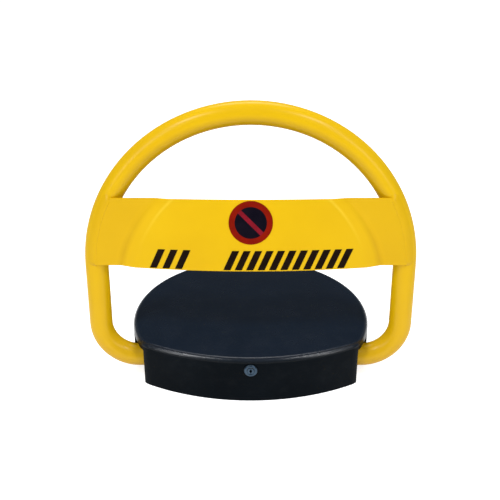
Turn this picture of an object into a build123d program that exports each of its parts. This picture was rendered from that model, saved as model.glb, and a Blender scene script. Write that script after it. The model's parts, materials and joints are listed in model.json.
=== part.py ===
from build123d import *
import math
import os

# A folding parking lock: a hoop arm that a gearmotor swings up and down over a round housing.
# Millimetres. The origin is the centre of the anchor hole pattern on the ground, +Z is up,
# the front is -Y. The arm is drawn raised, leaning back a few degrees from upright.

# ---- driving dimensions ----
# housing
HOUSING_R = 174.0
FRONT_Y = -124.0
FRONT_R = 300.0
FRONT_CORNER_R = 33.0
COVER_TOP = 69.5
DOME_R = 10000.0
RIM_R = 7.0
RIM_INNER_R = 4.0
COVER_WALL = 3.0
PLATE_T = 3.0
NOTCH_X = 152.0
NOTCH_Y = (-80.5, -28.0)
NOTCH_TOP = 56.0

# arm
PIVOT_Y = -55.0
PIVOT_Z = 32.0
LEAN = 4.0
TUBE_R = 16.0
TUBE_WALL = 2.0
ARCH_R = 214.0
ARCH_H = 145.0
BEND_R = 53.0
TUBE_END_X = 108.0

# panel, in arm coordinates: x, height above the pivot, distance in front of the arm's plane
PANEL_LOW = 150.0
PANEL_HIGH = 248.0
PANEL_T = 2.5
CREST_LOW = 7.5
CREST_HIGH = 3.5
CROWN_LOW = 20.0
CROWN_HIGH = 6.5
CREASE_R = 181.0
CREASE_H = 116.5
CREASE_BAND = 19.0
SIGN_R = 29.5
SIGN_RING = 8.0
SIGN_DROP = 31.0
SLASH_W = 6.0
STICKER_T = 0.4
BAR_LOW = 2.0
BAR_H = 26.5
BAR_W = 9.5
BAR_LEAN = 12.0

# drive
SHAFT_R = 10.0
GEAR_MODULE = 2.0
GEAR_TEETH = 24
PINION_TEETH = 12
GEAR_W = 14.0
COUNTER_R = 5.0
COUNTER_Z = 41.0
WORM_MODULE = 1.25
WHEEL_TEETH = 26
WORM_PITCH_R = 5.5
WORM_X = 19.0
WHEEL_W = 8.0
WORM_SHAFT_R = 3.0
MOTOR_R = 16.0
MOTOR_LENGTH = 60.0

# gearbox
BOX_X = (-16.0, 30.0)
BOX_Y = (-88.0, 12.0)
BOX_TOP = 61.0
BOX_WALL = 4.0
LID_T = 4.0

# anchors and lock
ANCHOR_X = 100.0
ANCHOR_Y = 75.0
ANCHOR_R = 6.5
LOCK_Z = 52.0
LOCK_HEAD_R = 9.5
LOCK_BARREL_R = 6.5
LOCK_CORE_R = 4.6

RUN = 0.05
FIT = 0.1

# ---- worked-out places ----
counter_reach = GEAR_MODULE * (GEAR_TEETH + PINION_TEETH) / 2
counter_lift = math.asin((COUNTER_Z - PIVOT_Z) / counter_reach)
counter_y = PIVOT_Y + counter_reach * math.cos(counter_lift)
wheel_r = WORM_MODULE * WHEEL_TEETH / 2
worm_z = COUNTER_Z - wheel_r - WORM_PITCH_R
worm_pitch = math.pi * WORM_MODULE
worm_lead = math.degrees(math.atan(worm_pitch / (2 * math.pi * WORM_PITCH_R)))

lean = math.radians(LEAN)
arm_up = (0, math.sin(lean), math.cos(lean))
arm_front = (0, -math.cos(lean), math.sin(lean))
arm_plane = Plane(origin=(0, PIVOT_Y, PIVOT_Z), x_dir=(1, 0, 0), z_dir=arm_front)

LEFT_RIGHT = (-1, 1)
UP = (Align.CENTER, Align.CENTER, Align.MIN)

os.makedirs("parts", exist_ok=True)


def save(piece, name):
    """Label a finished piece and write its STEP file."""
    piece.part.label = name
    export_step(piece.part, f"parts/{name}.step")


def arm_point(x, height, front):
    """A point given in arm coordinates, in the part's own frame."""
    return arm_plane.from_local_coords((x, height, front))


def section_plane(height):
    """The plane square to the arm at a height: local x is across, local y is forward."""
    down = tuple(-v for v in arm_up)
    return Plane(origin=arm_point(0, height, 0), x_dir=(1, 0, 0), z_dir=down)


def along_panel(low, high, height):
    """A value that changes evenly from the panel's lower edge to its upper edge."""
    return low + (high - low) * (height - PANEL_LOW) / (PANEL_HIGH - PANEL_LOW)


def across_x(x, y, z):
    """A plane whose normal is +X, with +Y to its right."""
    return Plane(origin=(x, y, z), x_dir=(0, 1, 0), z_dir=(1, 0, 0))


def along_y(x, y, z):
    """A plane whose normal is +Y."""
    return Plane(origin=(x, y, z), x_dir=(0, 0, 1), z_dir=(0, 1, 0))


def upward(x, y, z):
    """A plane whose normal is +Z."""
    return Plane(origin=(x, y, z))


def pegs(planes, radius, length, mode=Mode.ADD):
    """Cylinders that stand on the planes."""
    with Locations(*planes):
        Cylinder(radius, length, align=UP, mode=mode)


def span_box(xs, ys, zs, mode=Mode.ADD):
    """A box from its spans along X, Y and Z."""
    centre = [(a + b) / 2 for a, b in (xs, ys, zs)]
    size = [b - a for a, b in (xs, ys, zs)]
    with Locations(tuple(centre)):
        Box(*size, mode=mode)


def cap_screws(planes, shank_r, length, head_r, head_h):
    """Socket-head screws: each plane lies under the head, its normal points out of the head."""
    pegs(planes, head_r, head_h)
    pegs([plane.offset(-length) for plane in planes], shank_r, length)
    pegs([plane.offset(head_h / 2) for plane in planes], head_r / 2, head_h, Mode.SUBTRACT)


def gear_outline(module, teeth, phase, backlash):
    """Points of an involute spur gear; phase is the angle of one tooth's middle, in degrees."""
    pitch_r = module * teeth / 2
    base_r = pitch_r * math.cos(math.radians(20))
    tip_r = pitch_r + 0.85 * module
    root_r = pitch_r - 1.15 * module

    def involute(radius):
        angle = math.acos(min(1, base_r / radius))
        return math.tan(angle) - angle

    half = math.pi / (2 * teeth) - backlash / pitch_r
    start_r = max(base_r, root_r + 0.05)
    radii = [root_r] + [start_r + (tip_r - start_r) * k / 4 for k in range(5)]
    widths = [half + involute(pitch_r) - involute(max(r, base_r)) for r in radii]
    points = []
    for tooth in range(teeth):
        middle = math.radians(phase) + 2 * math.pi * tooth / teeth
        rising = [(r, middle - w) for r, w in zip(radii, widths)]
        falling = [(r, middle + w) for r, w in reversed(list(zip(radii, widths)))]
        points += [(r * math.cos(a), r * math.sin(a)) for r, a in rising + falling]
    return points


# ---- housing outline ----
# a round rear and a flatter front arc, joined by corner arcs that are tangent to both
front_centre = FRONT_Y + FRONT_R
rear_reach = HOUSING_R - FRONT_CORNER_R
front_reach = FRONT_R - FRONT_CORNER_R
corner_y = (rear_reach**2 - front_reach**2 + front_centre**2) / (2 * front_centre)
corner_x = math.sqrt(rear_reach**2 - corner_y**2)
rear_end = Vector(corner_x, corner_y) * (HOUSING_R / rear_reach)
front_end = Vector(0, front_centre) + Vector(corner_x, corner_y - front_centre) * (FRONT_R / front_reach)
corner_out = (rear_end + front_end - Vector(corner_x, corner_y) * 2).normalized()
corner_mid = Vector(corner_x, corner_y) + corner_out * FRONT_CORNER_R


def other_side(point):
    return Vector(-point.X, point.Y)


with BuildSketch() as outline:
    with BuildLine():
        ThreePointArc(other_side(rear_end), (0, HOUSING_R), rear_end)
        ThreePointArc(rear_end, corner_mid, front_end)
        ThreePointArc(front_end, (0, FRONT_Y), other_side(front_end))
        ThreePointArc(other_side(front_end), other_side(corner_mid), other_side(rear_end))
    make_face()

notch_mid = sum(NOTCH_Y) / 2
notch_span = NOTCH_Y[1] - NOTCH_Y[0]


def inner_outline(inset):
    """The housing's outline at ground level, notched for the tube, moved inward."""
    with BuildSketch() as inner:
        add(outline.sketch)
        offset(amount=-inset)
        with Locations(*[(side * (NOTCH_X + 50), notch_mid) for side in LEFT_RIGHT]):
            Rectangle(100 + 2 * inset, notch_span + 2 * inset, mode=Mode.SUBTRACT)
    return inner.sketch


plate_outline = inner_outline(COVER_WALL + 0.5)
seal_outer = inner_outline(COVER_WALL + 0.2)
seal_inner = inner_outline(COVER_WALL + 3)

# ---- cover ----
with BuildPart() as cover_room:
    with BuildSketch():
        add(outline.sketch)
        offset(amount=-COVER_WALL)
    extrude(amount=COVER_TOP)
    with Locations((0, 0, COVER_TOP - DOME_R)):
        Sphere(DOME_R - COVER_WALL, mode=Mode.INTERSECT)
    fillet(cover_room.faces().sort_by(Axis.Z)[-1].edges(), RIM_INNER_R)
    for side in LEFT_RIGHT:
        wall_x = NOTCH_X - COVER_WALL
        with Locations((side * (wall_x + 50), notch_mid, 0)):
            Box(100, notch_span + 2 * COVER_WALL, 2 * (NOTCH_TOP + COVER_WALL), mode=Mode.SUBTRACT)

with BuildPart() as cover_shell:
    with BuildSketch():
        add(outline.sketch)
    extrude(amount=COVER_TOP + 1)
    with Locations((0, 0, COVER_TOP - DOME_R)):
        Sphere(DOME_R, mode=Mode.INTERSECT)
    fillet(cover_shell.faces().sort_by(Axis.Z)[-1].edges(), RIM_R)
    for side in LEFT_RIGHT:
        with Locations((side * (NOTCH_X + 50), notch_mid, 0)):
            Box(100, notch_span, 2 * NOTCH_TOP, mode=Mode.SUBTRACT)
    add(cover_room.part, mode=Mode.SUBTRACT)
    # slots that let the cover drop over the tube
    slot_r = TUBE_R + 3
    for side in LEFT_RIGHT:
        span_box(
            sorted((side * (NOTCH_X - 10), side * (NOTCH_X + 10))),
            (PIVOT_Y - slot_r, PIVOT_Y + slot_r),
            (-1, PIVOT_Z),
            Mode.SUBTRACT,
        )
    pegs([across_x(NOTCH_X - 10, PIVOT_Y, PIVOT_Z)], slot_r, 20, Mode.SUBTRACT)
    pegs([across_x(-NOTCH_X - 10, PIVOT_Y, PIVOT_Z)], slot_r, 20, Mode.SUBTRACT)
    # hole for the lock
    pegs([along_y(0, FRONT_Y - 5, LOCK_Z)], LOCK_BARREL_R + FIT, 12, Mode.SUBTRACT)
    # feet that slide under the side hooks
    for side in LEFT_RIGHT:
        span_box(sorted((side * 151, side * (HOUSING_R - 1.5))), (-9, 9), (12.5, 15.5))
save(cover_shell, "cover_shell")


# ---- base plate ----
gearbox_feet = [(x, y) for x in (BOX_X[0] - 8, BOX_X[1] + LID_T + 8) for y in (-76, 0)]
block_x = 138.0
block_bolts = [(side * block_x, PIVOT_Y + dy) for side in LEFT_RIGHT for dy in (-18, 18)]
tray_x = (-80.0, -8.0)
tray_y = (18.0, 146.0)
board_x = (42.0, 88.0)
board_y = (46.0, 116.0)
keeper_feet = [(42, -102), (42, -94)]
hook_feet = [(side * 134, 0) for side in LEFT_RIGHT]
strap_feet = [(x, 81) for x in (tray_x[0] - 6, tray_x[1] + 6)]
board_feet = [(x, y) for x in (46, 84) for y in (50, 112)]
sensor_foot = (-46, -30)

with BuildPart() as base_plate:
    with BuildSketch():
        add(plate_outline)
        with Locations(*[(x, y) for x in (-ANCHOR_X, ANCHOR_X) for y in (-ANCHOR_Y, ANCHOR_Y)]):
            Circle(ANCHOR_R, mode=Mode.SUBTRACT)
        with Locations(*gearbox_feet):
            Circle(3 + FIT, mode=Mode.SUBTRACT)
        with Locations(*keeper_feet, *hook_feet, *strap_feet, sensor_foot):
            Circle(2.5 + FIT, mode=Mode.SUBTRACT)
        with Locations(*board_feet):
            Circle(1.5 + FIT, mode=Mode.SUBTRACT)
    extrude(amount=PLATE_T)
    with Locations(*[Plane(origin=(x, y, 0), z_dir=(0, 0, -1)) for x, y in block_bolts]):
        CounterSinkHole(2.5 + FIT, 5 + FIT)
save(base_plate, "base_plate")

with BuildPart() as rim_seal:
    with BuildSketch(Plane.XY.offset(PLATE_T)):
        add(seal_outer)
    extrude(amount=4)
    with BuildSketch(Plane.XY.offset(PLATE_T)):
        add(seal_inner)
    extrude(amount=4, mode=Mode.SUBTRACT)
    for side in LEFT_RIGHT:
        span_box(
            sorted((side * (NOTCH_X - 20), side * NOTCH_X)),
            (PIVOT_Y - 26, PIVOT_Y + 26),
            (0, 20),
            Mode.SUBTRACT,
        )
save(rim_seal, "rim_seal")


# ---- where the tube enters ----
def tube_grommet(side):
    """A rubber piece that fills the cover's slot around the tube."""
    grommet_r = slot_r - 0.2
    inner_x = side * NOTCH_X - 5.5 if side > 0 else side * NOTCH_X - 1.5
    with BuildPart() as grommet:
        with BuildSketch(across_x(inner_x, PIVOT_Y, PIVOT_Z)):
            Circle(grommet_r)
            with Locations((0, -(PIVOT_Z - 3.5) / 2)):
                Rectangle(2 * grommet_r, PIVOT_Z - 3.5)
            Circle(TUBE_R + 0.4, mode=Mode.SUBTRACT)
        extrude(amount=7)
    return grommet


def bearing_block(side):
    """A pillow block that holds the bush on one tube end."""
    with BuildPart() as block:
        with BuildSketch(across_x(side * block_x - 8, PIVOT_Y, PIVOT_Z)):
            Circle(23)
            with Locations((0, (PLATE_T - PIVOT_Z) / 2)):
                Rectangle(46, PIVOT_Z - PLATE_T)
            with Locations((0, PLATE_T + 5 - PIVOT_Z)):
                Rectangle(50, 10)
            Circle(TUBE_R + 3, mode=Mode.SUBTRACT)
        extrude(amount=16)
        feet = [p for p in block_bolts if p[0] * side > 0]
        pegs([upward(x, y, 0) for x, y in feet], 2.5 + FIT, 16, Mode.SUBTRACT)
    return block


def bearing_bush(side):
    """A plain bronze bush between the block and the tube."""
    with BuildPart() as bush:
        pegs([across_x(side * block_x - 8, PIVOT_Y, PIVOT_Z)], TUBE_R + 3, 16)
        pegs([across_x(side * block_x - 8, PIVOT_Y, PIVOT_Z)], TUBE_R + RUN, 16, Mode.SUBTRACT)
    return bush


for side, word in ((-1, "left"), (1, "right")):
    save(tube_grommet(side), f"side_grommet_{word}")
    save(bearing_block(side), f"bearing_block_{word}")
    save(bearing_bush(side), f"bearing_bush_{word}")

# countersunk from below, flush with the plate
with BuildPart() as bearing_bolts:
    with Locations(*[(x, y, 0) for x, y in block_bolts]):
        Cone(5, 2.5, 2.5, align=UP)
    pegs([upward(x, y, 0) for x, y in block_bolts], 2.5, 15)
save(bearing_bolts, "bearing_bolts")


# ---- arm ----
# the tube's centreline: stub, bend, leg, half circle, leg, bend, stub
leg_x = ARCH_R
with BuildPart() as hoop_tube:
    with BuildLine(arm_plane):
        Line((-TUBE_END_X, 0), (-leg_x + BEND_R, 0))
        RadiusArc((-leg_x + BEND_R, 0), (-leg_x, BEND_R), BEND_R)
        Line((-leg_x, BEND_R), (-leg_x, ARCH_H))
        ThreePointArc((-leg_x, ARCH_H), (0, ARCH_H + ARCH_R), (leg_x, ARCH_H))
        Line((leg_x, ARCH_H), (leg_x, BEND_R))
        RadiusArc((leg_x, BEND_R), (leg_x - BEND_R, 0), BEND_R)
        Line((leg_x - BEND_R, 0), (TUBE_END_X, 0))
    with BuildSketch(across_x(-TUBE_END_X, PIVOT_Y, PIVOT_Z)):
        Circle(TUBE_R)
        Circle(TUBE_R - TUBE_WALL, mode=Mode.SUBTRACT)
    sweep()
    clamp_x = TUBE_END_X + 10
    clamp_planes = [arm_plane.offset(-40).shift_origin(arm_point(s * clamp_x, 0, -40)) for s in LEFT_RIGHT]
    pegs(clamp_planes, 4 + FIT, 80, Mode.SUBTRACT)
save(hoop_tube, "hoop_tube")

with BuildPart() as arm_hubs:
    for side in LEFT_RIGHT:
        low_x = min(side * TUBE_END_X, side * (TUBE_END_X + 40))
        hub_start = across_x(low_x, PIVOT_Y, PIVOT_Z)
        pegs([hub_start], TUBE_R - TUBE_WALL - RUN, 40)
        pegs([hub_start], SHAFT_R + RUN, 40, Mode.SUBTRACT)
    pegs(clamp_planes, 4 + FIT, 80, Mode.SUBTRACT)
save(arm_hubs, "arm_hubs")

shaft_half = TUBE_END_X + 38
with BuildPart() as main_shaft:
    pegs([across_x(-shaft_half, PIVOT_Y, PIVOT_Z)], SHAFT_R, 2 * shaft_half)
    chamfer(main_shaft.edges().filter_by(GeomType.CIRCLE), 1)
    pegs(clamp_planes, 4 + FIT, 80, Mode.SUBTRACT)
    # keyway under the drive gear
    span_box(
        (-GEAR_W / 2, GEAR_W / 2),
        (PIVOT_Y - 3, PIVOT_Y + 3),
        (PIVOT_Z - SHAFT_R - 1, PIVOT_Z - SHAFT_R + 3.5),
        Mode.SUBTRACT,
    )
save(main_shaft, "main_shaft")

with BuildPart() as clamp_bolts:
    heads = [Plane(origin=arm_point(s * clamp_x, 0, TUBE_R + 0.5), z_dir=arm_front) for s in LEFT_RIGHT]
    cap_screws(heads, 4, 2 * TUBE_R + 6, 6.5, 5)
    nuts = [Plane(origin=arm_point(s * clamp_x, 0, -TUBE_R - 5.5), z_dir=arm_front) for s in LEFT_RIGHT]
    for nut in nuts:
        with BuildSketch(nut):
            RegularPolygon(6.5, 6, major_radius=False)
    extrude(amount=5)
save(clamp_bolts, "clamp_bolts")

panel_heights = [PANEL_LOW, 162, 178, 196, 214, 232, PANEL_HIGH]


def crease_out(height):
    """Half width of the boss where it leaves the panel."""
    return math.sqrt(CREASE_R**2 - (height - CREASE_H) ** 2)


def boss_section(height, inset, back):
    """One cross-section of the boss: a slope on each side and a front that bulges a little."""
    face = TUBE_R + PANEL_T - inset
    crest = face + along_panel(CREST_LOW, CREST_HIGH, height)
    crown = face + along_panel(CROWN_LOW, CROWN_HIGH, height)
    wide = crease_out(height) - 0.2 * inset
    narrow = wide - CREASE_BAND
    left = [(-narrow, crest), (-wide, face), (-wide, back)]
    right = [(wide, back), (wide, face), (narrow, crest)]
    with BuildSketch(section_plane(height)) as section:
        with BuildLine():
            Polyline(*left, *right)
            ThreePointArc((narrow, crest), (0, crown), (-narrow, crest))
        make_face()
    return section.sketch


def boss_solid(inset, back):
    """The boss as a solid, its surface moved inward."""
    with BuildPart() as solid:
        loft([boss_section(height, inset, back) for height in panel_heights])
    return solid.part


boss = boss_solid(0, TUBE_R)
with BuildPart() as arm_panel:
    with BuildSketch(arm_plane.offset(TUBE_R)):
        with Locations((0, ARCH_H)):
            Circle(ARCH_R)
        with Locations((0, (PANEL_LOW + PANEL_HIGH) / 2)):
            Rectangle(3 * ARCH_R, PANEL_HIGH - PANEL_LOW, mode=Mode.INTERSECT)
    extrude(amount=PANEL_T)
    add(boss)
    add(boss_solid(PANEL_T, TUBE_R - 5), mode=Mode.SUBTRACT)
save(arm_panel, "arm_panel")


# ---- signs stuck on the boss, drawn in arm coordinates ----
boss_skin = boss_solid(-STICKER_T, TUBE_R)
sign_centre = (0, PANEL_HIGH - SIGN_DROP)


def film_on_boss(shape):
    """A thin film of the drawn shape that follows the front of the boss."""
    with BuildPart() as film:
        with BuildSketch(arm_plane.offset(TUBE_R)):
            add(shape.sketch)
        extrude(amount=40)
        add(boss_skin, mode=Mode.INTERSECT)
        add(boss, mode=Mode.SUBTRACT)
    return film


with BuildSketch() as ring_shape:
    with Locations(sign_centre):
        Circle(SIGN_R)
        Circle(SIGN_R - SIGN_RING, mode=Mode.SUBTRACT)

with BuildSketch() as slash_shape:
    with Locations(sign_centre):
        Circle(SIGN_R - SIGN_RING)
        Rectangle(4 * SIGN_R, SLASH_W, rotation=-45, mode=Mode.INTERSECT)

with BuildSketch() as disc_shape:
    with Locations(sign_centre):
        Circle(SIGN_R - SIGN_RING)
    add(slash_shape.sketch, mode=Mode.SUBTRACT)

bar_z = PANEL_LOW + BAR_LOW
bar_groups = ((-137.0, 3, 17.2), (-37.0, 11, 15.4))
with BuildSketch() as bars_shape:
    for first_x, count, pitch in bar_groups:
        for index in range(count):
            x = first_x + index * pitch
            corners = [(x, bar_z), (x + BAR_W, bar_z)]
            corners += [(x + BAR_W + BAR_LEAN, bar_z + BAR_H), (x + BAR_LEAN, bar_z + BAR_H)]
            Polygon(*corners, align=None)

save(film_on_boss(ring_shape), "sign_ring")
save(film_on_boss(slash_shape), "sign_slash")
save(film_on_boss(disc_shape), "sign_disc")
save(film_on_boss(bars_shape), "marking_bars")


# ---- drive train ----
gear_side = across_x(-GEAR_W / 2, PIVOT_Y, PIVOT_Z)
gear_phase = math.degrees(counter_lift)
with BuildPart() as drive_gear:
    with BuildSketch(gear_side):
        Polygon(*gear_outline(GEAR_MODULE, GEAR_TEETH, gear_phase, 0.12), align=None)
        Circle(SHAFT_R + RUN, mode=Mode.SUBTRACT)
        with Locations((0, -SHAFT_R)):
            Rectangle(6, 6.5, mode=Mode.SUBTRACT)
    extrude(amount=GEAR_W)
save(drive_gear, "drive_gear")

with BuildPart() as drive_key:
    key_low = PIVOT_Z - SHAFT_R - 3
    span_box((-6.9, 6.9), (PIVOT_Y - 2.95, PIVOT_Y + 2.95), (key_low, key_low + 6.3))
save(drive_key, "drive_key")

pinion_phase = gear_phase + 180 + 180 / PINION_TEETH
counter_from = BOX_X[0] + 0.2
counter_to = BOX_X[1] + LID_T - 0.2
with BuildPart() as counter_shaft:
    pegs([across_x(counter_from, counter_y, COUNTER_Z)], COUNTER_R, counter_to - counter_from)
    with BuildSketch(across_x(-GEAR_W / 2 - 1, counter_y, COUNTER_Z)):
        Polygon(*gear_outline(GEAR_MODULE, PINION_TEETH, pinion_phase, 0.12), align=None)
    extrude(amount=GEAR_W + 2)
save(counter_shaft, "counter_shaft")

# the wheel's gaps lean with the worm's thread, and one gap faces straight down at the worm
wheel_tip = wheel_r + 0.8 * WORM_MODULE
wheel_root = wheel_r - 1.1 * WORM_MODULE
gap_half = worm_pitch / 4 + 0.25
with BuildPart() as worm_wheel:
    pegs([across_x(WORM_X - WHEEL_W / 2, counter_y, COUNTER_Z)], wheel_tip, WHEEL_W)
    pegs([across_x(WORM_X - WHEEL_W / 2, counter_y, COUNTER_Z)], COUNTER_R + RUN, WHEEL_W, Mode.SUBTRACT)
    slope = math.tan(math.radians(20))
    low_half = gap_half - slope * (wheel_r - wheel_root)
    high_half = gap_half + slope * (wheel_tip + 1 - wheel_r)
    gap = [(-low_half, wheel_root), (low_half, wheel_root)]
    gap += [(high_half, wheel_tip + 1), (-high_half, wheel_tip + 1)]
    for tooth in range(WHEEL_TEETH):
        turn = 2 * math.pi * tooth / WHEEL_TEETH
        out = Vector(0, math.sin(turn), -math.cos(turn))
        along = Vector(0, math.cos(turn), math.sin(turn))
        lead = math.radians(worm_lead)
        skew = Vector(1, 0, 0) * math.cos(lead) + along * math.sin(lead)
        gap_plane = Plane(origin=(WORM_X, counter_y, COUNTER_Z), x_dir=out.cross(skew), z_dir=skew)
        with BuildSketch(gap_plane):
            Polygon(*[(across, radius) for across, radius in gap], align=None)
        extrude(amount=WHEEL_W, both=True, mode=Mode.SUBTRACT)
save(worm_wheel, "worm_wheel")

worm_root = WORM_PITCH_R - 1.2 * WORM_MODULE
worm_tip = WORM_PITCH_R + 0.75 * WORM_MODULE
thread_turns = 6
thread_length = thread_turns * worm_pitch
thread_half = worm_pitch / 4 - 0.2
thread_start = (WORM_X, counter_y - thread_length / 2, worm_z)
worm_front = counter_y - 22
motor_y = BOX_Y[1]
rotor_end = motor_y + MOTOR_LENGTH - 3
with BuildPart() as worm_shaft:
    pegs([along_y(WORM_X, worm_front, worm_z)], WORM_SHAFT_R, rotor_end - worm_front)
    pegs([along_y(WORM_X, counter_y - 14, worm_z)], worm_root, 28)
    with BuildLine() as thread_path:
        Helix(worm_pitch, thread_length, worm_root, center=thread_start, direction=(0, 1, 0))
    thread = thread_path.wires()[0]
    with BuildSketch(Plane(origin=thread @ 0, x_dir=(0, 1, 0), z_dir=thread % 0)):
        rise = worm_tip - worm_root
        low = thread_half + slope * (WORM_PITCH_R - worm_root)
        high = thread_half - slope * (worm_tip - WORM_PITCH_R)
        Polygon((-low, -0.3), (low, -0.3), (high, rise), (-high, rise), align=None)
    sweep(is_frenet=True)
save(worm_shaft, "worm_shaft")


# ---- gearbox ----
inner_x = (BOX_X[0] + BOX_WALL, BOX_X[1])
inner_y = (BOX_Y[0] + BOX_WALL, BOX_Y[1] - BOX_WALL)
web_y = counter_y - 22.5
boss_r = 14.0
worm_bush_r = 6.0
lid_x = (BOX_X[1], BOX_X[1] + LID_T)
lid_holes = [(y, z) for y in (BOX_Y[0] + 2, BOX_Y[1] - 2) for z in (36, 54)]
motor_holes = [(WORM_X, worm_z + dz) for dz in (-10, 10)]
with BuildPart() as gearbox_case:
    span_box(BOX_X, BOX_Y, (PLATE_T, BOX_TOP))
    fillet(gearbox_case.edges().filter_by(Axis.X), 3)
    span_box(inner_x, inner_y, (PLATE_T + 2.4, BOX_TOP - 2.4), Mode.SUBTRACT)
    span_box((10, 27), (web_y - 2, web_y + 2), (PLATE_T + 2, worm_z + 7.5))
    pegs([across_x(BOX_X[0] - 1, PIVOT_Y, PIVOT_Z)], boss_r + FIT, 6, Mode.SUBTRACT)
    pegs([across_x(BOX_X[0] - 1, counter_y, COUNTER_Z)], 8 + FIT, 6, Mode.SUBTRACT)
    pegs([along_y(WORM_X, web_y - 3, worm_z)], worm_bush_r + FIT, 6, Mode.SUBTRACT)
    pegs([along_y(WORM_X, BOX_Y[1] - 5, worm_z)], worm_bush_r + FIT, 6, Mode.SUBTRACT)
    pegs([along_y(x, BOX_Y[1] - 5, z) for x, z in motor_holes], 1.5 + FIT, 6, Mode.SUBTRACT)
    left_feet = [p for p in gearbox_feet if p[0] < 0]
    for x, y in left_feet:
        span_box((x - 7, BOX_X[0] + 2), (y - 8, y + 8), (PLATE_T, PLATE_T + 6))
    pegs([upward(x, y, 0) for x, y in left_feet], 3 + FIT, 20, Mode.SUBTRACT)
    pegs([across_x(BOX_X[1] - 12, y, z) for y, z in lid_holes], 1.2, 13, Mode.SUBTRACT)
save(gearbox_case, "gearbox_case")

with BuildPart() as gearbox_lid:
    span_box(lid_x, BOX_Y, (PLATE_T, BOX_TOP))
    fillet(gearbox_lid.edges().filter_by(Axis.X), 3)
    pegs([across_x(BOX_X[1] - 1, PIVOT_Y, PIVOT_Z)], boss_r + FIT, 6, Mode.SUBTRACT)
    pegs([across_x(BOX_X[1] - 1, counter_y, COUNTER_Z)], 8 + FIT, 6, Mode.SUBTRACT)
    right_feet = [p for p in gearbox_feet if p[0] > 0]
    for x, y in right_feet:
        span_box((lid_x[1] - 2, x + 7), (y - 8, y + 8), (PLATE_T, PLATE_T + 6))
    pegs([upward(x, y, 0) for x, y in right_feet], 3 + FIT, 20, Mode.SUBTRACT)
    pegs([across_x(BOX_X[1] - 1, y, z) for y, z in lid_holes], 1.2, 6, Mode.SUBTRACT)
save(gearbox_lid, "gearbox_lid")

with BuildPart() as lid_screws:
    cap_screws([across_x(lid_x[1], y, z) for y, z in lid_holes], 1.1, 14, 1.9, 2)
save(lid_screws, "lid_screws")

with BuildPart() as gearbox_bolts:
    cap_screws([upward(x, y, PLATE_T + 6) for x, y in gearbox_feet], 3, 8.8, 5, 6)
save(gearbox_bolts, "gearbox_bolts")

with BuildPart() as gearbox_bushes:
    for start in (BOX_X[0] - 2, BOX_X[1] - 2):
        pegs([across_x(start, PIVOT_Y, PIVOT_Z)], boss_r, 8)
        pegs([across_x(start, PIVOT_Y, PIVOT_Z)], SHAFT_R + RUN, 8, Mode.SUBTRACT)
save(gearbox_bushes, "gearbox_bushes")

with BuildPart() as counter_bushes:
    for start in (BOX_X[0], BOX_X[1]):
        pegs([across_x(start, counter_y, COUNTER_Z)], 8, 4)
        pegs([across_x(start, counter_y, COUNTER_Z)], COUNTER_R + RUN, 4, Mode.SUBTRACT)
save(counter_bushes, "counter_bushes")

with BuildPart() as worm_bushes:
    for start in (web_y - 2, BOX_Y[1] - 4):
        pegs([along_y(WORM_X, start, worm_z)], worm_bush_r, 4)
        pegs([along_y(WORM_X, start, worm_z)], WORM_SHAFT_R + RUN, 4, Mode.SUBTRACT)
save(worm_bushes, "worm_bushes")


# ---- motor ----
motor_axis = along_y(WORM_X, motor_y, worm_z)
with BuildPart() as motor_can:
    pegs([motor_axis], MOTOR_R, MOTOR_LENGTH)
    pegs([motor_axis.offset(3)], MOTOR_R - 1.5, MOTOR_LENGTH, Mode.SUBTRACT)
    pegs([motor_axis.offset(-1)], WORM_SHAFT_R + 1, 6, Mode.SUBTRACT)
    pegs([along_y(x, motor_y - 1, z) for x, z in motor_holes], 1.5 + FIT, 6, Mode.SUBTRACT)
save(motor_can, "motor_can")

with BuildPart() as motor_magnets:
    with BuildSketch(motor_axis.offset(14)):
        Circle(MOTOR_R - 1.7)
        Circle(MOTOR_R - 4.2, mode=Mode.SUBTRACT)
        Rectangle(3 * MOTOR_R, 12, mode=Mode.SUBTRACT)
    extrude(amount=34)
save(motor_magnets, "motor_magnets")

with BuildPart() as motor_rotor:
    pegs([motor_axis.offset(15)], MOTOR_R - 5, 32)
    pegs([motor_axis.offset(46)], 4.5, 7)
    pegs([motor_axis], WORM_SHAFT_R, MOTOR_LENGTH, Mode.SUBTRACT)
    with BuildSketch(motor_axis.offset(15)):
        with PolarLocations(MOTOR_R - 7, 9):
            Rectangle(5, 1.6, mode=Mode.ADD)
    extrude(amount=32, mode=Mode.SUBTRACT)
save(motor_rotor, "motor_rotor")

with BuildPart() as motor_end_cap:
    pegs([motor_axis.offset(MOTOR_LENGTH - 5)], MOTOR_R - 1.6, 5)
    pegs([motor_axis.offset(MOTOR_LENGTH)], MOTOR_R, 3)
    pegs([motor_axis.offset(MOTOR_LENGTH - 6)], WORM_SHAFT_R + RUN, 5, Mode.SUBTRACT)
    # solder tags for the lead
    for dz in (-6, 6):
        span_box(
            (WORM_X - 1.5, WORM_X + 1.5),
            (motor_y + MOTOR_LENGTH + 2, motor_y + MOTOR_LENGTH + 8),
            (worm_z + dz - 0.4, worm_z + dz + 0.4),
        )
save(motor_end_cap, "motor_end_cap")

with BuildPart() as motor_screws:
    heads = [along_y(x, BOX_Y[1] - 4, z).rotated((180, 0, 0)) for x, z in motor_holes]
    cap_screws(heads, 1.5, 6.5, 2.7, 2.5)
save(motor_screws, "motor_screws")


# ---- limit sensing ----
collar_x = -46.0
with BuildPart() as magnet_collar:
    pegs([across_x(collar_x - 5, PIVOT_Y, PIVOT_Z)], 16, 10)
    pegs([across_x(collar_x - 5, PIVOT_Y, PIVOT_Z)], SHAFT_R + RUN, 10, Mode.SUBTRACT)
    pegs([Plane(origin=(collar_x, PIVOT_Y, PIVOT_Z + 13), z_dir=(0, 0, 1))], 2.5, 4, Mode.SUBTRACT)
save(magnet_collar, "magnet_collar")

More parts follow.
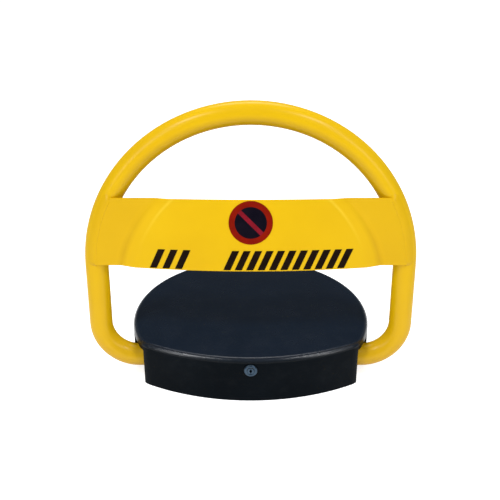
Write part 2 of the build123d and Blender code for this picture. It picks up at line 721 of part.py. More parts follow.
with BuildPart() as limit_magnet:
    pegs([upward(collar_x, PIVOT_Y, PIVOT_Z + 13)], 2.4, 2.8)
save(limit_magnet, "limit_magnet")

# a bracket that stands behind the collar, with one sensor over it and one behind it
with BuildPart() as sensor_bracket:
    span_box((collar_x - 8, collar_x + 8), (-36, -24), (PLATE_T, PLATE_T + 2))
    span_box((collar_x - 8, collar_x + 8), (-36, -34), (PLATE_T, 56))
    span_box((collar_x - 8, collar_x + 8), (-64, -34), (54, 56))
    pegs([upward(*sensor_foot, 0)], 2.5 + FIT, 10, Mode.SUBTRACT)
save(sensor_bracket, "sensor_bracket")

with BuildPart() as hall_sensors:
    span_box((collar_x - 4, collar_x + 4), (PIVOT_Y - 4, PIVOT_Y + 4), (51, 54))
    span_box((collar_x - 4, collar_x + 4), (-38, -36), (PIVOT_Z - 4, PIVOT_Z + 4))
save(hall_sensors, "hall_sensors")


# ---- battery ----
cell_r = 16.4
cell_length = 61.0
cell_xs = (tray_x[0] + 19, tray_x[1] - 19)
cell_z = PLATE_T + 2 + cell_r
cell_ys = (tray_y[0] + 3, tray_y[0] + 3 + cell_length)
with BuildPart() as battery_tray:
    span_box(tray_x, tray_y, (PLATE_T, 30))
    fillet(battery_tray.edges().filter_by(Axis.Z), 4)
    hollow_x = (tray_x[0] + 2, tray_x[1] - 2)
    hollow_y = (tray_y[0] + 2, tray_y[1] - 2)
    span_box(hollow_x, hollow_y, (PLATE_T + 2, 31), Mode.SUBTRACT)
save(battery_tray, "battery_tray")

with BuildPart() as battery_cells:
    for x in cell_xs:
        for y in cell_ys:
            pegs([along_y(x, y, cell_z)], cell_r, cell_length - 2)
            pegs([along_y(x, y + cell_length - 2, cell_z)], 4.5, 1.8)
save(battery_cells, "battery_cells")

strap_top = PLATE_T + 2 + 2 * cell_r + 0.6
with BuildPart() as battery_strap:
    outer = (tray_x[0] - 2.2, tray_x[1] + 2.2)
    span_box(outer, (74, 88), (PLATE_T, strap_top + 1.5))
    inner_gap = (tray_x[0] - 0.2, tray_x[1] + 0.2)
    span_box(inner_gap, (73, 89), (PLATE_T - 1, strap_top), Mode.SUBTRACT)
    span_box((outer[0] - 10, outer[0]), (74, 88), (PLATE_T, PLATE_T + 2))
    span_box((outer[1], outer[1] + 10), (74, 88), (PLATE_T, PLATE_T + 2))
    pegs([upward(x, y, 0) for x, y in strap_feet], 2.5 + FIT, 10, Mode.SUBTRACT)
save(battery_strap, "battery_strap")


# ---- electronics ----
board_z = 12.0
board_t = 1.6
with BuildPart() as board_standoffs:
    pegs([upward(x, y, PLATE_T) for x, y in board_feet], 3, board_z - PLATE_T)
    pegs([upward(x, y, 0) for x, y in board_feet], 1.5 + FIT, 20, Mode.SUBTRACT)
save(board_standoffs, "board_standoffs")

with BuildPart() as circuit_board:
    span_box(board_x, board_y, (board_z, board_z + board_t))
    # soldered controller chip
    span_box((68, 76), (56, 66), (board_z + board_t, board_z + board_t + 2))
    pegs([upward(x, y, 0) for x, y in board_feet], 1.5 + FIT, 20, Mode.SUBTRACT)
save(circuit_board, "circuit_board")

board_top = board_z + board_t
with BuildPart() as board_screws:
    cap_screws([upward(x, y, board_top) for x, y in board_feet], 1.5, 13, 2.7, 2.4)
save(board_screws, "board_screws")

with BuildPart() as relays:
    for x in (58, 76):
        span_box((x - 7.5, x + 7.5), (89, 108), (board_top, board_top + 15.5))
    fillet(relays.edges().filter_by(Axis.Z), 0.8)
save(relays, "relays")

with BuildPart() as receiver_module:
    span_box((62, 76), (48, 51), (board_top, board_top + 14))
save(receiver_module, "receiver_module")

with BuildPart() as buzzer:
    pegs([upward(74, 76, board_top)], 6, 9)
    pegs([upward(74, 76, board_top + 8)], 1.2, 2, Mode.SUBTRACT)
save(buzzer, "buzzer")

terminal_x = (52.0, 61.0)
terminal_y = (58.0, 84.0)
terminal_h = 12.0
with BuildPart() as terminal_block:
    span_box(terminal_x, terminal_y, (board_top, board_top + terminal_h))
    pegs([upward(56.5, y, board_top + 9) for y in (62, 67, 75, 80)], 1.8, 4, Mode.SUBTRACT)
save(terminal_block, "terminal_block")


# ---- cover lock and hooks ----
front_axis = along_y(0, FRONT_Y, LOCK_Z)
with BuildPart() as lock_body:
    pegs([front_axis.offset(-3)], LOCK_HEAD_R, 3)
    fillet(lock_body.edges().filter_by(GeomType.CIRCLE).group_by(Axis.Y)[0], 0.8)
    pegs([front_axis], LOCK_BARREL_R, 19)
    pegs([front_axis.offset(-4)], LOCK_CORE_R + RUN, 30, Mode.SUBTRACT)
save(lock_body, "lock_body")

with BuildPart() as lock_core:
    pegs([front_axis.offset(-2.6)], LOCK_CORE_R, 21.6)
    pegs([front_axis.offset(19)], 3.5, 7)
    pegs([front_axis.offset(-3)], 2.0, 5, Mode.SUBTRACT)
    with Locations(front_axis.offset(-1)):
        Box(7, 1.6, 5, mode=Mode.SUBTRACT)
save(lock_core, "lock_core")

with BuildPart() as lock_nut:
    with BuildSketch(front_axis.offset(COVER_WALL + 0.3)):
        RegularPolygon(8.5, 6, major_radius=False)
        Circle(LOCK_BARREL_R + RUN, mode=Mode.SUBTRACT)
    extrude(amount=4)
save(lock_nut, "lock_nut")

cam_y = FRONT_Y + 19.5
with BuildPart() as lock_cam:
    with BuildSketch(Plane(origin=(0, cam_y, LOCK_Z), x_dir=(1, 0, 0), z_dir=(0, 1, 0))):
        Circle(8)
        with Locations((13, 0)):
            Rectangle(26, 11)
        Circle(3.5 + RUN, mode=Mode.SUBTRACT)
    extrude(amount=3)
save(lock_cam, "lock_cam")

with BuildPart() as lock_keeper:
    span_box((34, 50), (-106, -90), (PLATE_T, PLATE_T + 3))
    span_box((31, 34), (-106, -90), (PLATE_T, LOCK_Z + 11))
    span_box((14, 34), (-106, -92), (LOCK_Z + 8, LOCK_Z + 11))
    pegs([upward(x, y, 0) for x, y in keeper_feet], 2.5 + FIT, 10, Mode.SUBTRACT)
save(lock_keeper, "lock_keeper")

with BuildPart() as side_hooks:
    for side in LEFT_RIGHT:
        span_box(sorted((side * 126, side * 144)), (-12, 12), (PLATE_T, PLATE_T + 3))
        span_box(sorted((side * 143, side * 146)), (-12, 12), (PLATE_T, 21))
        span_box(sorted((side * 143, side * 160)), (-12, 12), (18, 21))
    pegs([upward(x, y, 0) for x, y in hook_feet], 2.5 + FIT, 10, Mode.SUBTRACT)
save(side_hooks, "side_hooks")

with BuildPart() as m5_screws:
    on_3mm = [upward(x, y, PLATE_T + 3) for x, y in (*keeper_feet, *hook_feet)]
    on_2mm = [upward(x, y, PLATE_T + 2) for x, y in (*strap_feet, sensor_foot)]
    cap_screws(on_3mm, 2.5, 5.8, 3.8, 4)
    cap_screws(on_2mm, 2.5, 4.8, 3.8, 4)
save(m5_screws, "m5_screws")


# ---- leads ----
def lead(points, radius):
    """A cable along straight runs with an arc at each corner as large as the runs allow."""
    corners = [Vector(*point) for point in points]
    runs = [b - a for a, b in zip(corners, corners[1:])]
    radii = []
    for before, after in zip(runs, runs[1:]):
        half_turn = math.radians(before.get_angle(after)) / 2
        radii.append(0.45 * min(before.length, after.length) / math.tan(half_turn))
    print("lead", 2 * radius, "mm thick, bend radii", [round(bend, 1) for bend in radii])
    with BuildPart() as cable:
        with BuildLine() as route:
            FilletPolyline(*corners, radius=radii)
        start = route.wires()[0]
        with BuildSketch(Plane(origin=start @ 0, z_dir=start % 0)):
            Circle(radius)
        sweep()
    return cable


motor_back = motor_y + MOTOR_LENGTH + 3
terminal_z = board_top + 6
motor_route = [(WORM_X, motor_back, worm_z), (WORM_X, 94, worm_z), (38, 94, terminal_z)]
motor_route += [(38, 66, terminal_z), (terminal_x[0], 66, terminal_z)]
save(lead(motor_route, 2.0), "motor_lead")

battery_route = [(tray_x[1], 110, 21), (20, 110, 21), (46, 108, 22), (46, 76, terminal_z)]
battery_route += [(terminal_x[0], 76, terminal_z)]
save(lead(battery_route, 1.6), "battery_lead")

sensor_route = [(collar_x, -34, 42), (collar_x, 0, 42), (-24, 16, 46), (28, 17, 46), (56.5, 34, 44)]
sensor_route += [(56.5, 71, 42), (56.5, 71, board_top + terminal_h)]
save(lead(sensor_route, 1.4), "sensor_lead")
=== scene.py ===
"""The looks of a folding parking lock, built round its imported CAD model. Metres; front is -Y."""
import json
import math

import bmesh
import bpy
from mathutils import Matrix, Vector


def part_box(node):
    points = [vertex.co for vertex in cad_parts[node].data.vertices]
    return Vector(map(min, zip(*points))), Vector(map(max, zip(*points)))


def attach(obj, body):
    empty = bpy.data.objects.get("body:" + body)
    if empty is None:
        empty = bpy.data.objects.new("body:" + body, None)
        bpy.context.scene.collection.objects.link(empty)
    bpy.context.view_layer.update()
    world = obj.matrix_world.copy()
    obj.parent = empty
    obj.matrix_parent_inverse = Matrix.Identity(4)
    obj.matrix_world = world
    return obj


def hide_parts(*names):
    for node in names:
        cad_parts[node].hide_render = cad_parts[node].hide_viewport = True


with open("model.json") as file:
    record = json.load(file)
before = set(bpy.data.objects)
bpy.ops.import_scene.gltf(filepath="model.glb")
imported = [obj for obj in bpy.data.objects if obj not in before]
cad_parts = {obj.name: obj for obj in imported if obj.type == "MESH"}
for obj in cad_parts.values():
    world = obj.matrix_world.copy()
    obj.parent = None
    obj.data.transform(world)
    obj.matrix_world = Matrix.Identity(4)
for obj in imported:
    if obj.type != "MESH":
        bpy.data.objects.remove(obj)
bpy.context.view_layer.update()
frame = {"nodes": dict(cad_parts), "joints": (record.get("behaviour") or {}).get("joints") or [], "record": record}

MM = 0.001

# ---- the arm's own frame: x across, height along the arm, front out of its face ----
fold = next(j for j in frame["joints"] if j["name"] == "arm_fold")
PIVOT = Vector(fold["pos_m"])
LEAN = math.radians(4)
ARM_UP = Vector((0, math.sin(LEAN), math.cos(LEAN)))
ARM_FRONT = Vector((0, -math.cos(LEAN), math.sin(LEAN)))

TUBE_R = 16 * MM
ARCH_R = 214 * MM
ARCH_H = 145 * MM
PANEL_LOW = 150 * MM
PANEL_HIGH = 248 * MM
PANEL_T = 2.5 * MM
CREST_LOW = 7.5 * MM
CREST_HIGH = 3.5 * MM
CROWN_LOW = 20 * MM
CROWN_HIGH = 6.5 * MM
CREASE_R = 181 * MM
CREASE_H = 116.5 * MM
CREASE_BAND = 19 * MM
CREASE_SOFT = 3.5 * MM

SEAM_START = -2.5 * MM
SEAM_REACH = 10.5 * MM
SEAM_OVER = 3.5 * MM
SEAM_LIFT = 0.03 * MM
SEAM_SUNK = 0.12 * MM
SEAM_RIPPLE = 0.06 * MM
STITCH_MIDDLES = (165 * MM, 199 * MM, 233 * MM)
STITCH_HALF = 11 * MM
STITCH_OUTWARD = -5.5 * MM
STITCH_FRONT = 15.2 * MM


def arm_point(x, height, front):
    return PIVOT + Vector((x, 0, 0)) + ARM_UP * height + ARM_FRONT * front


# ---- mesh helpers ----
def new_object(name, verts, faces):
    mesh = bpy.data.meshes.new(name)
    mesh.from_pydata([tuple(v) for v in verts], [], faces)
    mesh.validate()
    bm = bmesh.new()
    bm.from_mesh(mesh)
    bmesh.ops.recalc_face_normals(bm, faces=bm.faces)
    bm.to_mesh(mesh)
    bm.free()
    for poly in mesh.polygons:
        poly.use_smooth = True
    obj = bpy.data.objects.new(name, mesh)
    bpy.context.scene.collection.objects.link(obj)
    return obj


def sweep(name, path, radius, sides):
    """A round bar along the path; radius is a function of the place from 0 to 1."""
    count = len(path)
    verts, faces = [], []
    normal = None
    for i, point in enumerate(path):
        before = path[max(0, i - 1)]
        after = path[min(count - 1, i + 1)]
        tangent = (after - before).normalized()
        if normal is None:
            normal = tangent.orthogonal().normalized()
        normal = (normal - tangent * normal.dot(tangent)).normalized()
        side = tangent.cross(normal)
        r = radius(i / (count - 1))
        for k in range(sides):
            angle = 2 * math.pi * k / sides
            verts.append(point + normal * (r * math.cos(angle)) + side * (r * math.sin(angle)))
    for i in range(count - 1):
        for k in range(sides):
            a, b = i * sides + k, i * sides + (k + 1) % sides
            faces.append((a, b, b + sides, a + sides))
    faces.append(tuple(range(sides)))
    faces.append(tuple(range((count - 1) * sides, count * sides)))
    return new_object(name, verts, faces)


def add_bevel(obj, width, segments, angle):
    bevel = obj.modifiers.new("bevel", "BEVEL")
    bevel.width = width
    bevel.segments = segments
    bevel.limit_method = "ANGLE"
    bevel.angle_limit = math.radians(angle)
    bevel.harden_normals = True


# ---- material helpers ----
class Nodes:
    """A material's node tree, with short ways to add what the finishes below share."""

    def __init__(self, name):
        self.material = bpy.data.materials.new(name)
        self.material.use_nodes = True
        self.tree = self.material.node_tree
        self.shader = self.tree.nodes["Principled BSDF"]
        self.place = self.add("ShaderNodeTexCoord").outputs["Object"]

    def add(self, kind, **settings):
        node = self.tree.nodes.new(kind)
        for key, value in settings.items():
            setattr(node, key, value)
        return node

    def link(self, output, target):
        self.tree.links.new(output, target)

    def set(self, **values):
        for key, value in values.items():
            socket = self.shader.inputs[key.replace("_", " ")]
            socket.default_value = value

    def noise(self, scale, detail=3.0, roughness=0.5):
        node = self.add("ShaderNodeTexNoise")
        node.inputs["Scale"].default_value = scale
        node.inputs["Detail"].default_value = detail
        node.inputs["Roughness"].default_value = roughness
        self.link(self.place, node.inputs["Vector"])
        return node.outputs["Fac"]

    def cells(self, scale):
        node = self.add("ShaderNodeTexVoronoi")
        node.inputs["Scale"].default_value = scale
        self.link(self.place, node.inputs["Vector"])
        return node.outputs["Distance"]

    def ramp(self, value, low, high, from_colour=(0, 0, 0), to_colour=(1, 1, 1)):
        node = self.add("ShaderNodeValToRGB")
        node.color_ramp.elements[0].position = low
        node.color_ramp.elements[1].position = high
        node.color_ramp.elements[0].color = (*from_colour, 1)
        node.color_ramp.elements[1].color = (*to_colour, 1)
        self.link(value, node.inputs["Fac"])
        return node.outputs["Color"]

    def span(self, value, from_low, from_high, to_low, to_high):
        node = self.add("ShaderNodeMapRange")
        for key, number in zip(
            ("From Min", "From Max", "To Min", "To Max"), (from_low, from_high, to_low, to_high)
        ):
            node.inputs[key].default_value = number
        self.link(value, node.inputs["Value"])
        return node.outputs["Result"]

    def mix(self, factor, first, second):
        node = self.add("ShaderNodeMix", data_type="RGBA")
        for socket, value in ((node.inputs[6], first), (node.inputs[7], second)):
            if isinstance(value, tuple):
                socket.default_value = (*value, 1)
            else:
                self.link(value, socket)
        self.link(factor, node.inputs[0])
        return node.outputs[2]

    def times(self, first, second):
        return self.calculate("MULTIPLY", first, second)

    def calculate(self, operation, *values):
        node = self.add("ShaderNodeMath", operation=operation)
        for socket, value in zip(node.inputs, values):
            if isinstance(value, (int, float)):
                socket.default_value = value
            else:
                self.link(value, socket)
        return node.outputs["Value"]

    def axes(self, vector=None):
        """The X, Y and Z outputs of a vector, or of the place."""
        node = self.add("ShaderNodeSeparateXYZ")
        self.link(vector or self.place, node.inputs["Vector"])
        return node.outputs["X"], node.outputs["Y"], node.outputs["Z"]

    def height(self):
        """How high above the ground a place is."""
        return self.axes()[2]

    def upward(self):
        """How far the surface faces up, from -1 to 1."""
        return self.axes(self.add("ShaderNodeTexCoord").outputs["Normal"])[2]

    def colour(self, output):
        self.link(output, self.shader.inputs["Base Color"])

    def rough(self, output):
        self.link(output, self.shader.inputs["Roughness"])

    def specular(self, output):
        self.link(output, self.shader.inputs["Specular IOR Level"])

    def bump(self, *layers):
        """Bump from (height output, distance in metres) pairs, each on top of the last."""
        normal = None
        for output, distance in layers:
            node = self.add("ShaderNodeBump")
            node.inputs["Distance"].default_value = distance
            self.link(output, node.inputs["Height"])
            if normal is not None:
                self.link(normal, node.inputs["Normal"])
            normal = node.outputs["Normal"]
        self.link(normal, self.shader.inputs["Normal"])


def yellow_enamel(name, shade_creases=False):
    n = Nodes(name)
    n.set(Coat_Weight=0.42, Coat_Roughness=0.3, Specular_IOR_Level=0.0)
    cloud = n.noise(9, 4)
    faded = n.mix(n.ramp(cloud, 0.3, 0.75), (0.88, 0.54, 0.002), (0.82, 0.485, 0.002))
    # painted shade: the undersides are darker than the upper sides
    shaded_paint = n.mix(n.span(n.upward(), -0.95, 0.1, 0.0, 1.0), (0.42, 0.22, 0.001), faded)
    if shade_creases:
        shaded_paint = crease_marks(n, shaded_paint)
    # painted shade darkens the legs, more so toward the ground
    height = n.height()
    low_shaded = n.mix(n.span(height, 0.04, 0.24, 0.5, 0.0), shaded_paint, (0.55, 0.30, 0.001))
    grime = n.times(n.span(height, 0.012, 0.075, 0.5, 0.0), n.noise(55, 5, 0.65))
    n.colour(n.mix(grime, low_shaded, (0.23, 0.14, 0.03)))
    n.rough(n.span(n.noise(28, 5), 0.3, 0.7, 0.24, 0.38))
    n.bump((n.noise(260, 2), 0.00012), (n.noise(1400, 2), 0.00002))
    return n.material


def crease_marks(n, paint):
    """Painted shade along the foot of the panel's creases, patchy like dust, a painted highlight along their
    crests, and painted shade outside them.
    """
    x, _, z = n.axes()
    beside = n.calculate("ABSOLUTE", x)
    centre_z = PIVOT.z + CREASE_H * math.cos(LEAN)
    above = n.calculate("DIVIDE", n.calculate("SUBTRACT", z, centre_z), math.cos(LEAN))
    lines = []
    for inset in (0.0, CREASE_BAND):
        across = n.calculate("ADD", beside, inset)
        square = n.calculate("ADD", n.times(across, across), n.times(above, above))
        lines.append(n.calculate("SUBTRACT", n.calculate("SQRT", square), CREASE_R))
    foot, crest = (n.calculate("ABSOLUTE", line) for line in lines)
    patchy = n.span(n.noise(40, 3), 0.3, 0.7, 0.7, 1.0)
    low_part = n.span(above, 0.07, 0.125, 1.0, 0.25)
    # painted shade along the crease foot, made patchy like dust
    dust_and_shade = n.times(n.times(n.span(foot, 0.0, 7 * MM, 0.42, 0.0), patchy), low_part)
    crease_shaded = n.mix(dust_and_shade, paint, (0.50, 0.24, 0.001))
    # painted highlight along the crease crest
    crest_highlight = n.times(n.span(crest, 0.5 * MM, 3 * MM, 0.42, 0.0), n.span(above, 0.06, 0.12, 0.0, 1.0))
    creased = n.mix(crest_highlight, crease_shaded, (0.98, 0.68, 0.05))
    # painted shade on the panel outside the creases, toward its ends
    return n.mix(n.span(lines[0], -4 * MM, 10 * MM, 0.0, 0.26), creased, (0.68, 0.37, 0.001))


def cover_plastic():
    n = Nodes("cover_plastic")
    cloud = n.ramp(n.noise(14, 4), 0.35, 0.7)
    black = n.mix(cloud, (0.0012, 0.0026, 0.0042), (0.0020, 0.0038, 0.0058))
    lit_top = n.mix(cloud, (0.0020, 0.0066, 0.0150), (0.0030, 0.0082, 0.0180))
    # the top is painted a lighter, bluer copy of the black as painted light, and wiping has polished the rim
    # between top and wall
    upward = n.upward()
    base = n.mix(n.span(upward, 0.3, 0.98, 0.0, 1.0), black, lit_top)
    toward_top = n.span(upward, 0.9, 0.995, 0.5, 0.12)
    toward_wall = n.span(upward, 0.1, 0.5, 0.03, 0.5)
    n.specular(n.calculate("MINIMUM", toward_top, toward_wall))
    dust_and_shade = n.times(n.ramp(n.noise(42, 6, 0.7), 0.5, 0.82), 0.035)
    n.colour(n.mix(dust_and_shade, base, (0.10, 0.105, 0.11)))
    n.rough(n.span(n.noise(36, 4), 0.3, 0.7, 0.21, 0.29))
    n.bump((n.cells(900), 0.00006), (n.noise(2600, 2), 0.00003))
    return n.material


def film(name, colour, shade):
    n = Nodes(name)
    n.set(Specular_IOR_Level=0.05)
    n.colour(n.mix(n.ramp(n.noise(60, 5), 0.35, 0.7), colour, shade))
    n.rough(n.span(n.noise(120, 4), 0.3, 0.7, 0.3, 0.42))
    n.bump((n.noise(500, 3), 0.00003))
    return n.material


def rubber():
    n = Nodes("rubber")
    n.set(Specular_IOR_Level=0.3)
    n.colour(n.mix(n.noise(80, 5), (0.010, 0.010, 0.011), (0.024, 0.024, 0.025)))
    n.rough(n.span(n.noise(150, 4), 0.3, 0.7, 0.7, 0.88))
    n.bump((n.noise(1200, 3), 0.00006))
    return n.material


def metal(name, colour, shade, low, high, depth=0.00002):
    n = Nodes(name)
    n.set(Metallic=1.0)
    n.colour(n.mix(n.ramp(n.noise(45, 5), 0.3, 0.75), colour, shade))
    grain = n.noise(300, 4, 0.6)
    n.rough(n.span(grain, 0.3, 0.7, low, high))
    n.bump((grain, depth))
    return n.material


def wrap(name, colour, shade, low=0.3, high=0.45):
    n = Nodes(name)
    n.colour(n.mix(n.ramp(n.noise(70, 5), 0.3, 0.7), colour, shade))
    n.rough(n.span(n.noise(160, 4), 0.3, 0.7, low, high))
    n.bump((n.noise(900, 3), 0.00004))
    return n.material


MATERIALS = {
    "yellow_paint": yellow_enamel("yellow_enamel"),
    "black_plastic": cover_plastic(),
    "sign_red": film("sign_red", (0.29, 0.010, 0.002), (0.20, 0.007, 0.002)),
    "sign_crimson": film("sign_crimson", (0.27, 0.010, 0.022), (0.21, 0.008, 0.016)),
    "sign_black": film("sign_black", (0.004, 0.003, 0.008), (0.007, 0.005, 0.011)),
    "marking_black": film("marking_black", (0.009, 0.004, 0.002), (0.014, 0.007, 0.004)),
    "rubber": rubber(),
    "plated_steel": metal("plated_steel", (0.55, 0.56, 0.57), (0.42, 0.42, 0.41), 0.25, 0.45),
    "gear_steel": metal("gear_steel", (0.34, 0.34, 0.35), (0.26, 0.25, 0.24), 0.3, 0.5),
    "cast_grey": metal("cast_grey", (0.44, 0.45, 0.46), (0.36, 0.37, 0.38), 0.5, 0.7, depth=0.0002),
    "bronze": metal("bronze", (0.50, 0.30, 0.12), (0.42, 0.24, 0.09), 0.25, 0.45),
    "lock_chrome": metal("lock_chrome", (0.055, 0.085, 0.12), (0.035, 0.055, 0.08), 0.3, 0.42),
    "cell_wrap": wrap("cell_wrap", (0.05, 0.08, 0.13), (0.04, 0.06, 0.10)),
    "board_green": wrap("board_green", (0.010, 0.12, 0.04), (0.008, 0.09, 0.03)),
    "terminal_green": wrap("terminal_green", (0.03, 0.22, 0.06), (0.025, 0.18, 0.05), 0.5, 0.6),
    "lead_sheath": wrap("lead_sheath", (0.02, 0.02, 0.021), (0.03, 0.03, 0.03), 0.5, 0.65),
}

panel_paint = yellow_enamel("panel_enamel", shade_creases=True)

slot_of = {row["node"]: row["material_slot"] for row in frame["record"]["subparts"]}
for node_name, node in frame["nodes"].items():
    node.data.materials.clear()
    node.data.materials.append(MATERIALS[slot_of[node_name]])


def finish_piece(obj, slot, body, *replaced, finish=None):
    obj.data.materials.append(finish or MATERIALS[slot])
    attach(obj, body)
    if replaced:
        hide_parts(*replaced)
    return obj


# ---- the pressed panel ----
def along_panel(low, high, height):
    return low + (high - low) * (height - PANEL_LOW) / (PANEL_HIGH - PANEL_LOW)


def crease_out(height):
    return math.sqrt(CREASE_R**2 - (height - CREASE_H) ** 2)


def corner(v):
    """0 below 0 and v above it, with the corner between them rounded."""
    if v <= -CREASE_SOFT:
        return 0.0
    if v >= CREASE_SOFT:
        return v
    return (v + CREASE_SOFT) ** 2 / (4 * CREASE_SOFT)


def panel_front(x, height):
    """How far in front of the arm's plane the panel's face is."""
    crest = along_panel(CREST_LOW, CREST_HIGH, height)
    crown = along_panel(CROWN_LOW, CROWN_HIGH, height)
    outer = crease_out(height)
    inner = outer - CREASE_BAND
    slope = crest / CREASE_BAND
    past = corner(inner - abs(x))
    climb = slope * (corner(outer - abs(x)) - past)
    bulge = (crown - crest) * (1 - ((inner - past) / inner) ** 2)
    return TUBE_R + PANEL_T + climb + bulge


def panel_columns(height):
    """Half of a row's x values, close together over the crease."""
    outer = crease_out(height)
    end = math.sqrt(ARCH_R**2 - (height - ARCH_H) ** 2)
    near, far = outer - CREASE_BAND - CREASE_SOFT, outer + CREASE_SOFT
    # which column stands at which x
    marks = [(0, 0.0), (16, near), (36, far), (42, end)]
    columns = []
    for (first, from_x), (last, to_x) in zip(marks, marks[1:]):
        columns += [from_x + (to_x - from_x) * k / (last - first) for k in range(last - first)]
    return columns + [end]


def build_panel():
    rows = 48
    verts, faces = [], []
    for r in range(rows + 1):
        height = PANEL_LOW + (PANEL_HIGH - PANEL_LOW) * r / rows
        half = panel_columns(height)
        for x in [-v for v in reversed(half[1:])] + half:
            verts.append(arm_point(x, height, panel_front(x, height)))
    width = len(verts) // (rows + 1)
    for r in range(rows):
        for c in range(width - 1):
            a = r * width + c
            faces.append((a, a + 1, a + 1 + width, a + width))
    panel = new_object("panel_pressing", verts, faces)
    facing = sum((p.normal.dot(ARM_FRONT) for p in panel.data.polygons)) > 0
    thick = panel.modifiers.new("sheet", "SOLIDIFY")
    thick.thickness = PANEL_T
    thick.offset = -1 if facing else 1
    thick.use_even_offset = True
    add_bevel(panel, 0.8 * MM, 3, 50)
    return panel


finish_piece(build_panel(), "yellow_paint", "arm", "arm_panel", finish=panel_paint)


# ---- welds ----
def arch_point(side, height, outward, front):
    """A point beside the tube where it passes a height, outward along the arch's radius."""
    across = math.sqrt(ARCH_R**2 - (height - ARCH_H) ** 2) / ARCH_R
    along = (height - ARCH_H) / ARCH_R
    x = side * across * (ARCH_R + outward)
    return arm_point(x, ARCH_H + along * (ARCH_R + outward), front)


def tube_face(outward):
    return math.sqrt(TUBE_R**2 - outward**2)


def build_edge_weld(side):
    """The filled seam that carries the panel's end onto the tube."""
    steps, across = 64, 10
    low, high = PANEL_LOW - SEAM_OVER, PANEL_HIGH + SEAM_OVER
    # from just above the panel's face to just under the tube's, where it has the tube's slope
    top = TUBE_R + PANEL_T + SEAM_LIFT
    sunk = tube_face(SEAM_REACH) - SEAM_SUNK
    end_slope = -SEAM_REACH / tube_face(SEAM_REACH) * (SEAM_REACH - SEAM_START)
    root = [
        (SEAM_REACH - 1.5 * MM, tube_face(SEAM_REACH) - 2.5 * MM),
        (SEAM_START, TUBE_R - 2 * MM),
    ]
    verts, faces = [], []
    for i in range(steps + 1):
        height = low + (high - low) * i / steps
        # the seam sinks into the tube at both of its ends
        edge = min(1.0, max(0.0, min(height - low, high - height) / (2 * SEAM_OVER)))
        full = edge * edge * (3 - 2 * edge)
        ripple = SEAM_RIPPLE * math.sin(i * 1.7) * full
        ring = []
        for k in range(across + 1):
            t = k / across
            outward = SEAM_START + (SEAM_REACH - SEAM_START) * t
            blend = top * (2 * t**3 - 3 * t**2 + 1) + sunk * (3 * t**2 - 2 * t**3)
            blend += end_slope * (t**3 - t**2)
            under = tube_face(outward) - 0.3 * MM
            front = under + (blend - under) * full
            ring.append((outward, front + ripple * math.sin(math.pi * t)))
        ring += root
        verts += [arch_point(side, height, outward, front) for outward, front in ring]
    width = across + 3
    for i in range(steps):
        for k in range(width):
            a, b = i * width + k, i * width + (k + 1) % width
            faces.append((a, b, b + width, a + width))
    faces += [tuple(range(width)), tuple(range(steps * width, (steps + 1) * width))]
    return new_object(f"panel_seam_{'left' if side < 0 else 'right'}", verts, faces)


def bead_radius(t):
    """Thin at both ends of the bead and wavy between them."""
    return (0.4 + 1.6 * math.sin(math.pi * t) ** 0.35 + 0.18 * math.sin(44 * t)) * MM


def build_stitches(side):
    """Short weld beads behind the panel, where it rests on the tube."""
    steps = 24
    joined = []
    for n, middle in enumerate(STITCH_MIDDLES):
        path = []
        for k in range(steps + 1):
            height = middle + STITCH_HALF * (2 * k / steps - 1)
            path.append(arch_point(side, height, STITCH_OUTWARD, STITCH_FRONT))
        joined.append(sweep(f"stitch_{n}", path, bead_radius, sides=14))
    with bpy.context.temp_override(
        active_object=joined[0], selected_editable_objects=joined, selected_objects=joined
    ):
        bpy.ops.object.join()
    joined[0].name = f"stitch_welds_{'left' if side < 0 else 'right'}"
    return joined[0]


for hand in (-1, 1):
    finish_piece(build_edge_weld(hand), "yellow_paint", "arm", finish=panel_paint)
    finish_piece(build_stitches(hand), "yellow_paint", "arm")


# ---- the lock's body ----
def lathe_y(name, centre, profile, sides=72):
    """A closed profile of (radius, distance toward the front), in mm, turned about a Y axis."""
    verts, faces = [], []
    count = len(profile)
    for s in range(sides):
        angle = 2 * math.pi * s / sides
        for radius, forward in profile:
            offset = Vector((radius * math.cos(angle), -forward, radius * math.sin(angle))) * MM
            verts.append(centre + offset)
    for s in range(sides):
        for k in range(count):
            a, b = s * count + k, s * count + (k + 1) % count
            c, d = ((s + 1) % sides) * count + k, ((s + 1) % sides) * count + (k + 1) % count
            faces.append((a, b, d, c))
    return new_object(name, verts, faces)


lock_low, lock_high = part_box("lock_body")
lock_centre = (Vector(lock_low) + Vector(lock_high)) / 2
BEZEL_DEPTH = 3.0
lock_centre.y = lock_low[1] + BEZEL_DEPTH * MM
LOCK_PROFILE = [
    (4.66, 1.9), (5.1, 2.0), (5.6, 2.55), (6.3, 2.98), (7.6, BEZEL_DEPTH), (8.4, 2.75), (9.1, 1.9),
    (9.45, 0.9), (9.5, 0.0), (6.5, 0.0), (6.5, -19.0), (4.66, -19.0),
]
lock_ring = lathe_y("lock_bezel", lock_centre, LOCK_PROFILE)
add_bevel(lock_ring, 0.15 * MM, 2, 50)
finish_piece(lock_ring, "lock_chrome", "base", "lock_body")


# ---- floor, light, camera ----
POOL_SPREAD = 0.28
POOL_SIDES = (0.40, 0.60)
POOL_FRONT = (-0.5, -0.28)


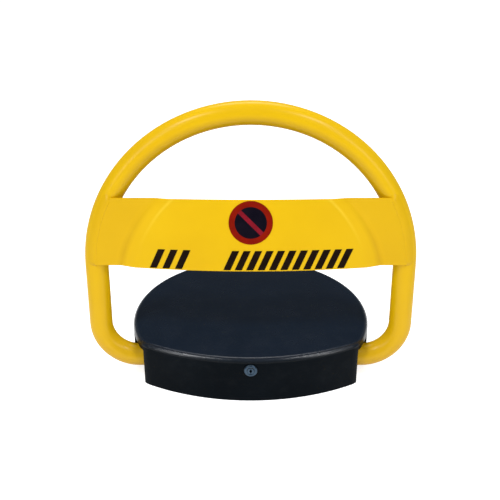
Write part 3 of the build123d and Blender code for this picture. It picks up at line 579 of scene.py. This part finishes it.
def build_floor():
    size = 14.0
    floor = new_object(
        "floor",
        [(-size, -size, 0), (size, -size, 0), (size, size, 0), (-size, size, 0)],
        [(0, 1, 2, 3)],
    )
    n = Nodes("pale_floor")
    n.set(Roughness=0.9, Specular_IOR_Level=0.1, Emission_Color=(1, 1, 1, 1))
    # a pool that widens toward the back glows, so that the background comes out white
    x, y, _ = n.axes()
    aside = n.calculate("MULTIPLY_ADD", y, -POOL_SPREAD, n.calculate("ABSOLUTE", x))
    pool = n.times(n.span(aside, *POOL_SIDES, 1.0, 0.0), n.span(y, *POOL_FRONT, 0.0, 1.0))
    n.link(n.span(pool, 0.0, 1.0, 0.2, 0.75), n.shader.inputs["Emission Strength"])
    paper = n.mix(n.noise(3, 3), (0.62, 0.62, 0.62), (0.66, 0.66, 0.66))
    n.colour(n.mix(pool, paper, (0.87, 0.87, 0.87)))
    floor.data.materials.append(n.material)


AIM_LOW = (0, 0, 0.15)
AIM_HIGH = (0, 0, 0.3)
# name, place, aim, size, power
SOFTBOXES = [
    ("key_left", (-1.15, -1.0, 2.2), AIM_LOW, (0.5, 0.22), 17),
    ("key_right", (1.15, -1.0, 2.2), AIM_LOW, (0.5, 0.22), 15),
    ("strip_left", (-1.23, -1.19, 0.95), AIM_HIGH, (0.3, 1.1), 7.2),
    ("strip_right", (1.23, -1.19, 0.95), AIM_HIGH, (0.3, 1.1), 6.4),
    ("top", (0, 1.15, 2.1), (0, 0, 0.1), (1.2, 0.35), 18),
]


def build_light():
    world = bpy.data.worlds.new("studio")
    bpy.context.scene.world = world
    world.use_nodes = True
    background = world.node_tree.nodes["Background"]
    background.inputs["Color"].default_value = (0.88, 0.96, 1.1, 1)
    background.inputs["Strength"].default_value = 0.27
    for name, place, aim, size, power in SOFTBOXES:
        data = bpy.data.lights.new(name, "AREA")
        data.shape = "RECTANGLE"
        data.size, data.size_y = size
        data.energy = power
        light = bpy.data.objects.new(name, data)
        light.location = place
        light.rotation_euler = (Vector(aim) - Vector(place)).to_track_quat("-Z", "Y").to_euler()
        bpy.context.scene.collection.objects.link(light)


def build_camera():
    elevation = math.radians(27.4)
    distance = 1.2
    target = PIVOT + Vector((-0.001, 0, 0.1707))
    back = Vector((0, -math.cos(elevation), math.sin(elevation)))
    data = bpy.data.cameras.new("camera")
    data.sensor_width = 36
    data.lens = 63.15
    camera = bpy.data.objects.new("camera", data)
    camera.location = target + back * distance
    camera.rotation_euler = (-back).to_track_quat("-Z", "Y").to_euler()
    bpy.context.scene.collection.objects.link(camera)
    bpy.context.scene.camera = camera


build_floor()
build_light()
build_camera()
bpy.context.scene.view_settings.view_transform = "Standard"
